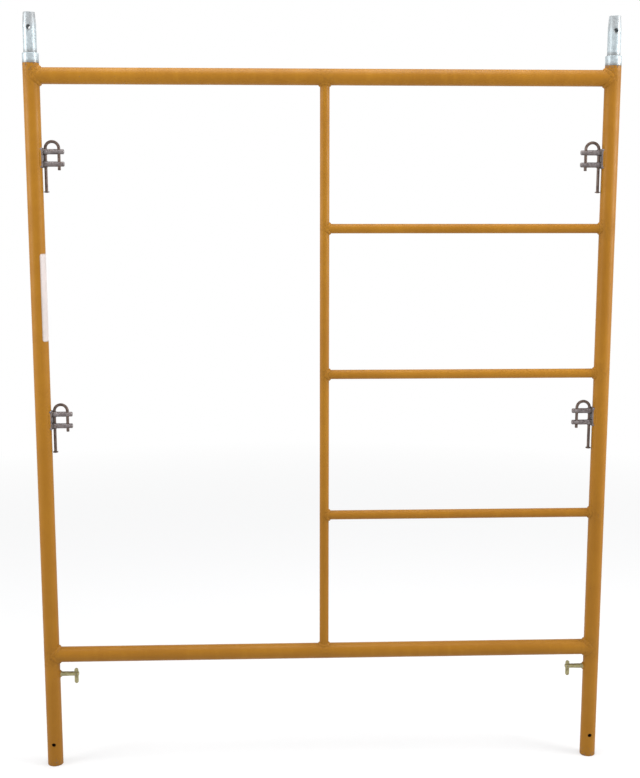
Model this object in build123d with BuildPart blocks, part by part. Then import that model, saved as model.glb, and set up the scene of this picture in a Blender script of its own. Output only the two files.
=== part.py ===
from build123d import *
import os

# A five-foot-wide, six-foot-four-high ladder-type frame scaffold section, in millimetres.
# Origin: on the ground, midway between the two legs. +X across the frame, +Y through it, +Z up.
# Mirrored pieces take side = -1 for the left leg and side = +1 for the right leg.

# Main tubing
leg_spacing = 1524.0
frame_height = 1930.4
main_tube_od = 42.9
main_tube_wall = 2.4
rung_tube_od = 25.4
rung_tube_wall = 2.1
header_below_top = 31.75
rung_pitch = 393.7
tube_end_chamfer = 0.5

# Leg ends: the bottom of each leg is sized to take a coupling pin, base plate or screw jack stem
socket_diameter = 38.7
socket_depth = 150.0
lock_hole_diameter = 11.1
lock_hole_height = 63.5

# Welds
weld_size = 3.5
stud_weld_size = 2.5
plate_weld_radius = 3.0
cope_trim = 4.0
rung_cope_trim = 3.0

# Brace locks: two studs on a saddle plate, kept closed by a cane-shaped gravity rod
upper_lock_height = 1689.1
lower_lock_height = 990.6
plate_thickness = 3.0
plate_width = 24.0
plate_height = 52.0
plate_corner = 4.0
stud_pitch = 32.0
stud_collar_diameter = 17.0
stud_seat_diameter = 14.0
stud_tip_diameter = 13.0
stud_seat_start = 13.3
stud_seat_length = 25.4
stud_reach = 57.0
stud_tip_chamfer = 1.5
cane_diameter = 8.0
cane_hole_diameter = 8.6
long_leg_offset = 8.5
short_leg_offset = 43.5
bend_clearance = 0.2
long_leg_drop = 90.5
short_leg_drop = 32.0
cane_end_chamfer = 0.8
stop_diameter = 14.0
stop_thickness = 3.0
stop_end_gap = 1.0

# Base studs: a slotted stud with a T-shaped gravity toggle
base_stud_height = 266.7
base_collar_diameter = 16.0
base_seat_diameter = 12.7
base_tip_diameter = 12.0
base_seat_start = 5.0
base_seat_length = 20.0
base_stud_reach = 52.0
slot_width = 4.0
slot_start = 27.5
toggle_pivot = 45.0
toggle_thickness = 3.5
toggle_width = 11.0
toggle_above = 16.0
toggle_below = 28.0
pivot_pin_diameter = 4.0
pivot_pin_length = 11.6
pivot_clearance = 0.05

# Coupling pins: swaged tube with a fixed collar, dropped into the top of each leg
pin_diameter = 34.9
pin_bulge_diameter = 35.4
pin_wall = 2.8
pin_half_length = 101.6
pin_tip_length = 31.0
pin_tip_diameter = 30.4
collar_height = 25.4
collar_chamfer = 1.0

# Blank label wrapped on the front of the left leg's inner side
label_bottom = 1206.0
label_height = 234.0
label_thickness = 0.4
label_start_angle = -65.0
label_wrap_angle = 100.0

# Worked out from the above
main_r = main_tube_od / 2
rung_r = rung_tube_od / 2
leg_x = leg_spacing / 2
leg_face = leg_x - main_r
header_height = frame_height - header_below_top
rung_heights = [header_height - step * rung_pitch for step in (1, 2, 3)]
bottom_bar_height = header_height - 4 * rung_pitch
stud_top = stud_pitch / 2 + stud_collar_diameter / 2
bend_height = stud_top + bend_clearance
bend_radius = (short_leg_offset - long_leg_offset) / 2
collar_top = frame_height + collar_height
sides = {"left": -1, "right": 1}
along_x = (1, 0, 0)
along_y = (0, 1, 0)
along_z = (0, 0, 1)

os.makedirs("parts", exist_ok=True)


def save(part, name):
    """Labels one finished sub-part and writes it under its own name."""
    part.label = name
    export_step(part, f"parts/{name}.step")


def from_leg(side, reach):
    """X position of a point that stands off the leg's inner face by reach."""
    return side * (leg_face - reach)


def inward(side):
    """Direction from that side's leg towards the middle of the frame."""
    return (-side, 0, 0)


def tip_group(side):
    """Index of the innermost group when a stud's end faces are sorted along X."""
    return -1 if side < 0 else 0


def make_leg(side, name):
    """An open tube with a sized socket and a lock-pin cross-hole at its foot."""
    foot = Plane(origin=(side * leg_x, 0, 0))
    with BuildPart() as leg:
        with BuildSketch(foot):
            Circle(main_r)
            Circle(main_r - main_tube_wall, mode=Mode.SUBTRACT)
        extrude(amount=frame_height)
        with BuildSketch(foot):
            Circle(socket_diameter / 2)
        extrude(amount=socket_depth, mode=Mode.SUBTRACT)
        rims = leg.edges().filter_by(lambda edge: abs(edge.bounding_box().size.X - main_tube_od) < 0.01)
        chamfer(rims.group_by(Axis.Z)[0] + rims.group_by(Axis.Z)[-1], length=tube_end_chamfer)
        with BuildSketch(Plane(origin=(side * leg_x, 0, lock_hole_height), z_dir=along_y)):
            Circle(lock_hole_diameter / 2)
        extrude(amount=main_tube_od, both=True, mode=Mode.SUBTRACT)
    save(leg.part, name)


def make_tube(start, end, outer_r, wall, copes, name):
    """A straight tube whose ends are coped to the tubes listed in copes as (origin, axis, radius)."""
    path = Vector(*end) - Vector(*start)
    with BuildPart() as tube:
        with BuildSketch(Plane(origin=start, z_dir=path.normalized())):
            Circle(outer_r)
            Circle(outer_r - wall, mode=Mode.SUBTRACT)
        extrude(amount=path.length)
        for origin, axis, radius in copes:
            with BuildSketch(Plane(origin=origin, z_dir=axis)):
                Circle(radius)
            extrude(amount=2 * outer_r, both=True, mode=Mode.SUBTRACT)
    save(tube.part, name)


def make_bead(at, branch_axis, branch_r, main_axis, radius, size, trim):
    """The weld bead where a branch leaves a main tube: a saddle-shaped ring around the branch."""
    main_plane = Plane(origin=at, z_dir=main_axis)
    reach = branch_r + 2 * size
    with BuildPart() as bead:
        with BuildSketch(Plane(origin=at, z_dir=branch_axis).offset(trim)):
            Circle(branch_r + size)
            Circle(branch_r, mode=Mode.SUBTRACT)
        extrude(amount=radius + size)
        with BuildSketch(main_plane):
            Circle(radius + size)
        extrude(amount=reach, both=True, mode=Mode.INTERSECT)
        with BuildSketch(main_plane):
            Circle(radius)
        extrude(amount=reach, both=True, mode=Mode.SUBTRACT)
    return bead.part


def save_group(pieces, name):
    """Writes identical small pieces as one node of separate solids."""
    with BuildPart() as group:
        add(pieces)
    save(group.part, name)


def make_lock_plate(side, height, name):
    """A saddle plate, hollowed behind to sit on the leg's round face."""
    with BuildPart() as plate:
        with BuildSketch(Plane(origin=(from_leg(side, plate_thickness), 0, height), z_dir=(side, 0, 0))):
            RectangleRounded(plate_height, plate_width, plate_corner)
        extrude(amount=plate_thickness + plate_width / 4)
        with BuildSketch(Plane(origin=(side * leg_x, 0, height))):
            Circle(main_r)
        extrude(amount=plate_height, both=True, mode=Mode.SUBTRACT)
    save(plate.part, name)


def make_plate_bead(side, edge, height):
    """The vertical weld along one long edge of a saddle plate."""
    plate_edge = edge * plate_width / 2
    contact = (main_r**2 - plate_edge**2) ** 0.5
    length = plate_height - 2 * plate_corner
    x = side * (leg_x - contact)
    with BuildPart() as bead:
        with BuildSketch(Plane(origin=(x, plate_edge, height - length / 2))):
            Circle(plate_weld_radius)
        extrude(amount=length)
        with BuildSketch(Plane(origin=(x, 0, height))):
            Rectangle(2 * plate_width, plate_width)
        extrude(amount=length, both=True, mode=Mode.SUBTRACT)
        with BuildSketch(Plane(origin=(side * leg_x, 0, height))):
            Circle(main_r)
        extrude(amount=length, both=True, mode=Mode.SUBTRACT)
    return bead.part


def make_brace_studs(side, height, name):
    """The lock's two stepped studs: collar, brace seat and tip, both drilled for the cane."""
    seat_end = stud_seat_start + stud_seat_length
    steps = (
        (plate_thickness, stud_seat_start, stud_collar_diameter),
        (stud_seat_start, seat_end, stud_seat_diameter),
        (seat_end, stud_reach, stud_tip_diameter),
    )
    with BuildPart() as studs:
        for offset in (-stud_pitch / 2, stud_pitch / 2):
            for start, end, diameter in steps:
                centre = (from_leg(side, start), 0, height + offset)
                with BuildSketch(Plane(origin=centre, z_dir=inward(side))):
                    Circle(diameter / 2)
                extrude(amount=end - start)
        tips = studs.faces().filter_by(Plane.YZ).group_by(Axis.X)[tip_group(side)]
        chamfer(tips.edges(), length=stud_tip_chamfer)
        for reach in (long_leg_offset, short_leg_offset):
            with BuildSketch(Plane(origin=(from_leg(side, reach), 0, height))):
                Circle(cane_hole_diameter / 2)
            extrude(amount=stud_pitch, both=True, mode=Mode.SUBTRACT)
    save(studs.part, name)


def make_lock_cane(side, height, name):
    """A round rod bent like a walking cane: long leg by the scaffold leg, short leg at the stud tips."""
    lock_plane = Plane(origin=(from_leg(side, 0), 0, height), x_dir=inward(side), z_dir=(0, side, 0))
    crown = ((long_leg_offset + short_leg_offset) / 2, bend_height + bend_radius)
    with BuildPart() as cane:
        with BuildLine(lock_plane) as path:
            Line((long_leg_offset, -long_leg_drop), (long_leg_offset, bend_height))
            ThreePointArc((long_leg_offset, bend_height), crown, (short_leg_offset, bend_height))
            Line((short_leg_offset, bend_height), (short_leg_offset, -short_leg_drop))
        with BuildSketch(Plane(origin=path.line @ 0, z_dir=path.line % 0)):
            Circle(cane_diameter / 2)
        sweep()
        ends = cane.faces().filter_by(Plane.XY)
        chamfer(ends.edges(), length=cane_end_chamfer)
    save(cane.part, name)


def make_cane_stop(side, height, name):
    """The ring at the foot of the long leg that keeps the cane from being pulled out."""
    bottom = height - long_leg_drop + stop_end_gap
    with BuildPart() as stop:
        with BuildSketch(Plane(origin=(from_leg(side, long_leg_offset), 0, bottom))):
            Circle(stop_diameter / 2)
            Circle(cane_diameter / 2, mode=Mode.SUBTRACT)
        extrude(amount=stop_thickness)
    save(stop.part, name)


def make_base_stud(side, name):
    """A stud with a saddle root, a slotted tip for the toggle and a cross-hole for its pivot."""
    pivot = (from_leg(side, toggle_pivot), 0, base_stud_height)
    seat_end = base_seat_start + base_seat_length
    steps = (
        (-main_r, base_seat_start, base_collar_diameter),
        (base_seat_start, seat_end, base_seat_diameter),
        (seat_end, base_stud_reach, base_tip_diameter),
    )
    slot_middle = (slot_start + base_stud_reach) / 2
    slot_length = base_stud_reach - slot_start
    with BuildPart() as stud:
        for start, end, diameter in steps:
            centre = (from_leg(side, start), 0, base_stud_height)
            with BuildSketch(Plane(origin=centre, z_dir=inward(side))):
                Circle(diameter / 2)
            extrude(amount=end - start)
        tip = stud.faces().filter_by(Plane.YZ).group_by(Axis.X)[tip_group(side)]
        chamfer(tip.edges(), length=stud_tip_chamfer)
        with BuildSketch(Plane(origin=(side * leg_x, 0, base_stud_height))):
            Circle(main_r)
        extrude(amount=base_collar_diameter, both=True, mode=Mode.SUBTRACT)
        with BuildSketch(Plane(origin=(from_leg(side, slot_middle), 0, base_stud_height))):
            Rectangle(slot_length, slot_width)
        extrude(amount=base_collar_diameter, both=True, mode=Mode.SUBTRACT)
        with BuildSketch(Plane(origin=pivot, z_dir=along_y)):
            Circle(pivot_pin_diameter / 2)
        extrude(amount=base_collar_diameter, both=True, mode=Mode.SUBTRACT)
    save(stud.part, name)


def make_toggle(side, name):
    """A flat bar that hangs across the stud's tip, heavier below its pivot than above."""
    pivot = (from_leg(side, toggle_pivot), toggle_thickness / 2, base_stud_height)
    face = Plane(origin=pivot, x_dir=along_x, z_dir=(0, -1, 0))
    with BuildPart() as toggle:
        with BuildSketch(face):
            with Locations((0, (toggle_above - toggle_below) / 2)):
                SlotOverall(toggle_above + toggle_below, toggle_width, rotation=90)
            Circle(pivot_pin_diameter / 2 + pivot_clearance, mode=Mode.SUBTRACT)
        extrude(amount=toggle_thickness)
    save(toggle.part, name)


def make_toggle_pin(side, name):
    """The pin pressed through the stud's slotted tip, on which the toggle turns."""
    start = (from_leg(side, toggle_pivot), -pivot_pin_length / 2, base_stud_height)
    with BuildPart() as pin:
        with BuildSketch(Plane(origin=start, z_dir=along_y)):
            Circle(pivot_pin_diameter / 2)
        extrude(amount=pivot_pin_length)
    save(pin.part, name)


def make_coupling_pin(side, name):
    """A tube swaged down at both ends, bulged to grip its collar and cross-drilled for a lock pin."""
    low = frame_height - pin_half_length
    high = collar_top + pin_half_length
    outer = pin_diameter / 2
    bulge = pin_bulge_diameter / 2
    tip = pin_tip_diameter / 2
    profile = [
        (tip, low),
        (outer, low + pin_tip_length),
        (outer, frame_height),
        (bulge, frame_height),
        (bulge, collar_top),
        (outer, collar_top),
        (outer, high - pin_tip_length),
        (tip, high),
        (tip - pin_wall, high),
        (outer - pin_wall, high - pin_tip_length),
        (outer - pin_wall, low + pin_tip_length),
        (tip - pin_wall, low),
    ]
    axis_plane = Plane(origin=(side * leg_x, 0, 0), x_dir=along_x, z_dir=(0, -1, 0))
    hole = (side * leg_x, 0, collar_top + lock_hole_height)
    with BuildPart() as pin:
        with BuildSketch(axis_plane):
            with BuildLine():
                Polyline(*profile, close=True)
            make_face()
        revolve(axis=Axis((side * leg_x, 0, 0), along_z))
        with BuildSketch(Plane(origin=hole, z_dir=along_y)):
            Circle(lock_hole_diameter / 2)
        extrude(amount=pin_diameter, both=True, mode=Mode.SUBTRACT)
    save(pin.part, name)


def make_coupling_collar(side, name):
    """The ring on the coupling pin that rests on the leg's end and carries the next frame."""
    with BuildPart() as collar:
        with BuildSketch(Plane(origin=(side * leg_x, 0, frame_height))):
            Circle(main_r)
        extrude(amount=collar_height)
        chamfer(collar.faces().sort_by(Axis.Z)[-1].edges(), length=collar_chamfer)
        with BuildSketch(Plane(origin=(side * leg_x, 0, frame_height))):
            Circle(pin_bulge_diameter / 2)
        extrude(amount=collar_height, mode=Mode.SUBTRACT)
    save(collar.part, name)


def make_label(name):
    """A thin blank sheet wrapped part of the way round the left leg."""
    end_angle = label_start_angle + label_wrap_angle
    with BuildPart() as label:
        with BuildSketch(Plane(origin=(-leg_x, 0, label_bottom))):
            with BuildLine():
                outer = CenterArc((0, 0), main_r + label_thickness, label_start_angle, label_wrap_angle)
                inner = CenterArc((0, 0), main_r, end_angle, -label_wrap_angle)
                Line(outer @ 1, inner @ 0)
                Line(inner @ 1, outer @ 0)
            make_face()
        extrude(amount=label_height)
    save(label.part, name)


# Frame tubes
for side_name, side in sides.items():
    make_leg(side, f"{side_name}_leg")

for name, height in (("header_bar", header_height), ("bottom_bar", bottom_bar_height)):
    end = leg_x - cope_trim
    leg_copes = [((side * leg_x, 0, height), along_z, main_r) for side in sides.values()]
    make_tube((-end, 0, height), (end, 0, height), main_r, main_tube_wall, leg_copes, name)

post_foot = (0, 0, bottom_bar_height)
post_head = (0, 0, header_height)
post_copes = [(end, along_x, main_r) for end in (post_foot, post_head)]
make_tube(post_foot, post_head, rung_r, rung_tube_wall, post_copes, "centre_post")

for name, height in zip(("upper_rung", "middle_rung", "lower_rung"), rung_heights):
    rung_copes = [((0, 0, height), along_z, rung_r), ((leg_x, 0, height), along_z, main_r)]
    make_tube((rung_cope_trim, 0, height), (leg_x, 0, height), rung_r, rung_tube_wall, rung_copes, name)

# Weld beads
for name, height in (("header_welds", header_height), ("bottom_bar_welds", bottom_bar_height)):
    bar_beads = [
        make_bead((side * leg_x, 0, height), inward(side), main_r, along_z, main_r, weld_size, cope_trim)
        for side in sides.values()
    ]
    save_group(bar_beads, name)

post_beads = [
    make_bead((0, 0, height), (0, 0, up), rung_r, along_x, main_r, weld_size, 0)
    for height, up in ((header_height, -1), (bottom_bar_height, 1))
]
save_group(post_beads, "centre_post_welds")

rung_beads = []
for height in rung_heights:
    post_end = (0, 0, height)
    leg_end = (leg_x, 0, height)
    rung_beads.append(make_bead(post_end, along_x, rung_r, along_z, rung_r, weld_size, rung_cope_trim))
    rung_beads.append(make_bead(leg_end, inward(1), rung_r, along_z, main_r, weld_size, 0))
save_group(rung_beads, "rung_welds")

# Brace locks
plate_beads = []
for level, height in (("upper", upper_lock_height), ("lower", lower_lock_height)):
    for side_name, side in sides.items():
        prefix = f"{level}_{side_name}"
        make_lock_plate(side, height, f"{prefix}_lock_plate")
        make_brace_studs(side, height, f"{prefix}_brace_studs")
        make_lock_cane(side, height, f"{prefix}_lock_cane")
        make_cane_stop(side, height, f"{prefix}_cane_stop")
        plate_beads += [make_plate_bead(side, edge, height) for edge in (-1, 1)]
save_group(plate_beads, "lock_plate_welds")

# Base studs and toggles
stud_beads = []
for side_name, side in sides.items():
    make_base_stud(side, f"{side_name}_base_stud")
    make_toggle(side, f"{side_name}_toggle")
    make_toggle_pin(side, f"{side_name}_toggle_pin")
    root = (side * leg_x, 0, base_stud_height)
    collar_r = base_collar_diameter / 2
    stud_beads.append(make_bead(root, inward(side), collar_r, along_z, main_r, stud_weld_size, 0))
save_group(stud_beads, "base_stud_welds")

# Coupling pins and label
for side_name, side in sides.items():
    make_coupling_pin(side, f"{side_name}_coupling_pin")
    make_coupling_collar(side, f"{side_name}_coupling_collar")
make_label("blank_label")
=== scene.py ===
import math
import random

import bmesh
import bpy
import numpy as np
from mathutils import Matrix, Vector


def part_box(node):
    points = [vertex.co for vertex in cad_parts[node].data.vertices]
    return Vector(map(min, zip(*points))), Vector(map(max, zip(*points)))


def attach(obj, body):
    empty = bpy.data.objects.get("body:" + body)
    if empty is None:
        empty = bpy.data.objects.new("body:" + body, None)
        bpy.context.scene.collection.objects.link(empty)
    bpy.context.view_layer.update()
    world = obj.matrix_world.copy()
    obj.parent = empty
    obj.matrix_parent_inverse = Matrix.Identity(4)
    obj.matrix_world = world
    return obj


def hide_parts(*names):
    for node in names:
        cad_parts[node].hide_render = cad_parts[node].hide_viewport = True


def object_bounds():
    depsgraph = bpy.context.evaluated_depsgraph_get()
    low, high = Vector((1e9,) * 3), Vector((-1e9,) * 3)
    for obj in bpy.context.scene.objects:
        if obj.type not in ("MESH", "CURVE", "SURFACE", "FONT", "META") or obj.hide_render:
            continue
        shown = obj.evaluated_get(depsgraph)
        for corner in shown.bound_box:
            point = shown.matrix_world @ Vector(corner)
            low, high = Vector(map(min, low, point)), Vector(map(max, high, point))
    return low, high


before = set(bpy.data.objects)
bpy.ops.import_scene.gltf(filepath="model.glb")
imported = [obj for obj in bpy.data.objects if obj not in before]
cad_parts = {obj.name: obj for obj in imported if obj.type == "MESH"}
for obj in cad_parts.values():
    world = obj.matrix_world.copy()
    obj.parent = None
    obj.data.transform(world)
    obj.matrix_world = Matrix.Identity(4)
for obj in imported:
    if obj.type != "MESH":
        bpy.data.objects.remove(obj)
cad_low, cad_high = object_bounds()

# ---------------------------------------------------------------------------
# Sizes, in metres. Positions come from the CAD nodes; small sizes that a node's
# box doesn't show are named here.
# ---------------------------------------------------------------------------
TUBE_WALL = 0.0024
RUNG_WALL = 0.0021
LIP_RADIUS = 0.0007
DRAWN_RIPPLE = 0.00005
COPED_RIPPLE = 0.00004
COLLAR_RIPPLE = 0.00004

# How far short of the other tube's axis the sides of a coped end stop where both tubes are equally wide.
# On a thinner tube it adds a little to the gap.
TUBE_EASE = 0.005
RUNG_EASE = 0.0035
POST_EASE = 0.002

SOCKET_RADIUS = 0.01935
SOCKET_DEPTH = 0.150
LOCK_HOLE_RADIUS = 0.00555
LOCK_HOLE_HEIGHT = 0.0635

# A saddle plate's face and rolled edge, as (inset from the outline, depth below the face)
PLATE_EDGE = ((0.009, 0), (0.005, 0), (0.0016, 0), (0.0008, 0.00012), (0.0003, 0.0004), (0, 0.0010))
PLATE_THICK = 0.003
PLATE_CORNER = 0.004
PLATE_BEAD_WIDTH = 0.0032
PLATE_BEAD_SHORTER = 0.008
STUD_PITCH = 0.032
STUD_CHAMFER = 0.0015
CANE_PLAY = 0.0003
SHORT_LEG_DROP = 0.032

# A stud's radii at its foot, brace seat and tip, and how far from the leg's face each one starts. The brace
# stud's last number is where its tip ends; the base stud's comes from the CAD.
BRACE_STUD_RADII = (0.0085, 0.007, 0.0065)
BRACE_STUD_STEPS = (PLATE_THICK, 0.0133, 0.0387, 0.057)
BASE_STUD_RADII = (0.008, 0.00635, 0.006)
BASE_STUD_STEPS = (-0.0014, 0.005, 0.025)

SLOT_START = 0.0275
SLOT_END = 0.065
SLOT_HALF_WIDTH = 0.002
SLOT_EASE = 0.0006
PIVOT_RADIUS = 0.00195
PIVOT_HOLE_RADIUS = 0.0021
TOGGLE_HOLE_RADIUS = 0.00205
TOGGLE_BEVEL = 0.0005

PIN_RADIUS = 0.01745
PIN_SEAT_RADIUS = 0.0177
PIN_WALL = 0.0028
PIN_TIP_LENGTH = 0.031
PIN_TIP_RADIUS = 0.0152
COLLAR_CHAMFER = 0.001

LABEL_LIFT = 0.0004
LABEL_GLUE = 0.00002
LABEL_START = math.radians(-65)
LABEL_ARC = math.radians(100)
LABEL_CORNER = 0.006
LABEL_SOIL_REACH = 0.003

# Weld beads: how deep their edges and roots lie under the surface, and how high their ripples are
BEAD_SINK = 0.00015
BEAD_ROOT = 0.0006
BEAD_RIPPLE = 0.0002
PLATE_BEAD_SINK = 0.0001
PLATE_BEAD_ROOT = 0.0004
PLATE_BEAD_RIPPLE = 0.00016
PLATE_BEAD_BULGE = 0.0005

# A rod's broken end, as (distance from the tip, share of the radius that is missing there)
ROD_END = ((0.0, 0.45), (0.0, 0.22), (0.0002, 0.09), (0.0008, 0.0))

# Half a drill's length, and how close points must be to become one after a cut
DRILL_REACH = 0.03
CUT_MERGE = 0.000002

SIDES = {"left": -1, "right": 1}
LEVELS = ("upper", "lower")


def middle(node):
    """Centre of a CAD node's box."""
    low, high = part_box(node)
    return (low + high) / 2


def size(node):
    """Size of a CAD node's box."""
    low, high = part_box(node)
    return high - low


LEG_RADIUS = max(size("right_leg").x, size("right_leg").y) / 2
LEG_X = middle("right_leg").x
LEG_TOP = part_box("right_leg")[1].z
LEG_FACE = LEG_X - LEG_RADIUS
POST_RADIUS = max(size("centre_post").x, size("centre_post").y) / 2
HEADER_Z = middle("header_bar").z
BOTTOM_Z = middle("bottom_bar").z
RUNGS = ("upper_rung", "middle_rung", "lower_rung")


def wander(seed, counts):
    """A smooth repeatable wobble from about -1 to 1 as its argument goes from 0 to 1."""
    rng = random.Random(seed)
    waves = [(2 * math.pi * n, rng.uniform(0, 6.28), rng.uniform(0.6, 1)) for n in counts]
    total = sum(wave[2] for wave in waves)
    return lambda t: sum(a * np.sin(k * np.asarray(t) + p) for k, p, a in waves) / total


# ---------------------------------------------------------------------------
# Mesh builders
# ---------------------------------------------------------------------------
def solid(name, points, faces, sharp=32):
    """A mesh object with outward normals, smooth but for edges sharper than sharp degrees."""
    mesh = bpy.data.meshes.new(name)
    mesh.from_pydata([tuple(p) for p in points], [], faces)
    form = bmesh.new()
    form.from_mesh(mesh)
    bmesh.ops.recalc_face_normals(form, faces=form.faces)
    form.to_mesh(mesh)
    form.free()
    shade(mesh, sharp)
    obj = bpy.data.objects.new(name, mesh)
    bpy.context.scene.collection.objects.link(obj)
    return obj


def shade(mesh, sharp):
    """Smooth shading with sharp edges past an angle in degrees."""
    mesh.shade_smooth()
    mesh.set_sharp_from_angle(angle=math.radians(sharp))


def loops(name, rings, closed, sharp=32):
    """Joins rings of points in order: back to the first ring if closed, else to a point at each end."""
    rings = np.asarray(rings, float)
    count, around = rings.shape[:2]
    points = list(rings.reshape(-1, 3))
    faces = []
    for i in range(count if closed else count - 1):
        k = (i + 1) % count
        for j in range(around):
            n = (j + 1) % around
            faces.append((i * around + j, i * around + n, k * around + n, k * around + j))
    if not closed:
        for ring in (0, count - 1):
            points.append(rings[ring].mean(0))
            tip = len(points) - 1
            for j in range(around):
                faces.append((ring * around + j, ring * around + (j + 1) % around, tip))
    return solid(name, points, faces, sharp)


def eased(profile, radius, closed=False, steps=4):
    """The same profile with its corners rounded by about radius."""
    count = len(profile)
    out = []
    for i, corner in enumerate(profile):
        if not closed and i in (0, count - 1):
            out.append(tuple(corner))
            continue
        here = np.array(corner, float)
        back = np.array(profile[i - 1], float) - here
        on = np.array(profile[(i + 1) % count], float) - here
        trim = min(radius, np.linalg.norm(back) * 0.45, np.linalg.norm(on) * 0.45)
        start = here + back / np.linalg.norm(back) * trim
        end = here + on / np.linalg.norm(on) * trim
        for t in np.linspace(0, 1, steps + 1):
            out.append(tuple((1 - t) ** 2 * start + 2 * t * (1 - t) * here + t * t * end))
    return out


def split(profile, length, closed=False):
    """The same profile with long runs divided into pieces no longer than length."""
    out = []
    ends = profile + [profile[0]] if closed else profile
    for a, b in zip(ends[:-1], ends[1:]):
        steps = max(1, math.ceil(math.dist(a, b) / length))
        for k in range(steps):
            out.append(tuple(np.array(a) + (np.array(b) - np.array(a)) * k / steps))
    if not closed:
        out.append(tuple(profile[-1]))
    return out


def turned(name, profile, origin, axis, segments=96, closed=True, shape=None, sharp=32):
    """Revolves (radius, distance) points about an axis. shape(angle, distance) adds to the radius."""
    along = np.array(Vector(axis).normalized())
    up = np.array((0, 0, 1.0)) if abs(along[2]) < 0.9 else np.array((0, 1.0, 0))
    side = np.cross(up, along)
    angle = np.linspace(0, 2 * math.pi, segments, endpoint=False)[None, :]
    radius = np.array([p[0] for p in profile])[:, None] + 0 * angle
    distance = np.array([p[1] for p in profile])[:, None] + 0 * angle
    if shape:
        radius = radius + shape(angle, distance)
    rings = (
        np.array(origin)
        + (radius * np.cos(angle))[..., None] * up
        + (radius * np.sin(angle))[..., None] * side
        + distance[..., None] * along
    )
    return loops(name, rings, closed, sharp)


def cut(obj, *tools, sharp=32):
    """Cuts each tool's shape out of obj, removes the tool and clears slivers from the cut edges."""
    for tool in tools:
        step = obj.modifiers.new("cut", "BOOLEAN")
        step.object = tool
        step.solver = "EXACT"
        bpy.context.view_layer.update()
        made = obj.evaluated_get(bpy.context.evaluated_depsgraph_get())
        mesh = bpy.data.meshes.new_from_object(made)
        obj.modifiers.clear()
        obj.data = mesh
        bpy.data.objects.remove(tool)
    form = bmesh.new()
    form.from_mesh(obj.data)
    bmesh.ops.remove_doubles(form, verts=form.verts, dist=CUT_MERGE)
    bmesh.ops.dissolve_degenerate(form, edges=form.edges, dist=CUT_MERGE)
    form.to_mesh(obj.data)
    form.free()
    shade(obj.data, sharp)
    return obj


def drill(centre, axis, radius):
    """A cylinder to cut a round hole right through a piece with."""
    inner = 0.6 * radius
    profile = [(inner, -DRILL_REACH), (radius, -DRILL_REACH), (radius, DRILL_REACH), (inner, DRILL_REACH)]
    return turned("drill", profile, centre, axis, segments=48, closed=False)


def ripple(seed, amount, counts_along, counts_round):
    """Very slight unevenness of a drawn tube, always inwards, as a shape for turned()."""
    along = wander(seed + "a", counts_along)
    around = wander(seed + "r", counts_round)

    def shape(angle, distance):
        wave = along(distance / 2) + 0.5 * around(angle / (2 * math.pi)) + 0.5 * along(distance / 2 + 0.3)
        return -amount * (1 + 0.5 * wave)

    return shape


def coped(name, start, end, radius, wall, start_main, end_main, ease, segments=96):
    """A tube whose ends follow the round faces of the tubes it meets. All the axes lie in the plane y = 0."""
    start, end = np.array(start, float), np.array(end, float)
    length = np.linalg.norm(end - start)
    along = (end - start) / length
    across = np.array((0, 1.0, 0))
    third = np.cross(along, across)
    angle = np.linspace(0, 2 * math.pi, segments, endpoint=False)
    wave = wander(name, (2, 5, 9))
    steps = max(24, int(length / 0.02))

    def ring(r, t):
        y = r * np.cos(angle)
        near = np.sqrt(np.maximum(start_main**2 - y**2, 0) + ease**2)
        far = np.sqrt(np.maximum(end_main**2 - y**2, 0) + ease**2)
        thin = COPED_RIPPLE * (1 + wave(t + 0.1 * np.sin(angle)))
        s = near + t * (length - near - far)
        rough = r - thin if r > radius - wall / 2 else r + thin
        sideways = (rough * np.cos(angle))[:, None] * across + (rough * np.sin(angle))[:, None] * third
        return start + sideways + s[:, None] * along

    outer = [ring(radius, t) for t in np.linspace(0, 1, steps)]
    inner = [ring(radius - wall, t) for t in np.linspace(1, 0, steps)]
    return loops(name, outer + inner, True, sharp=40)


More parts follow.
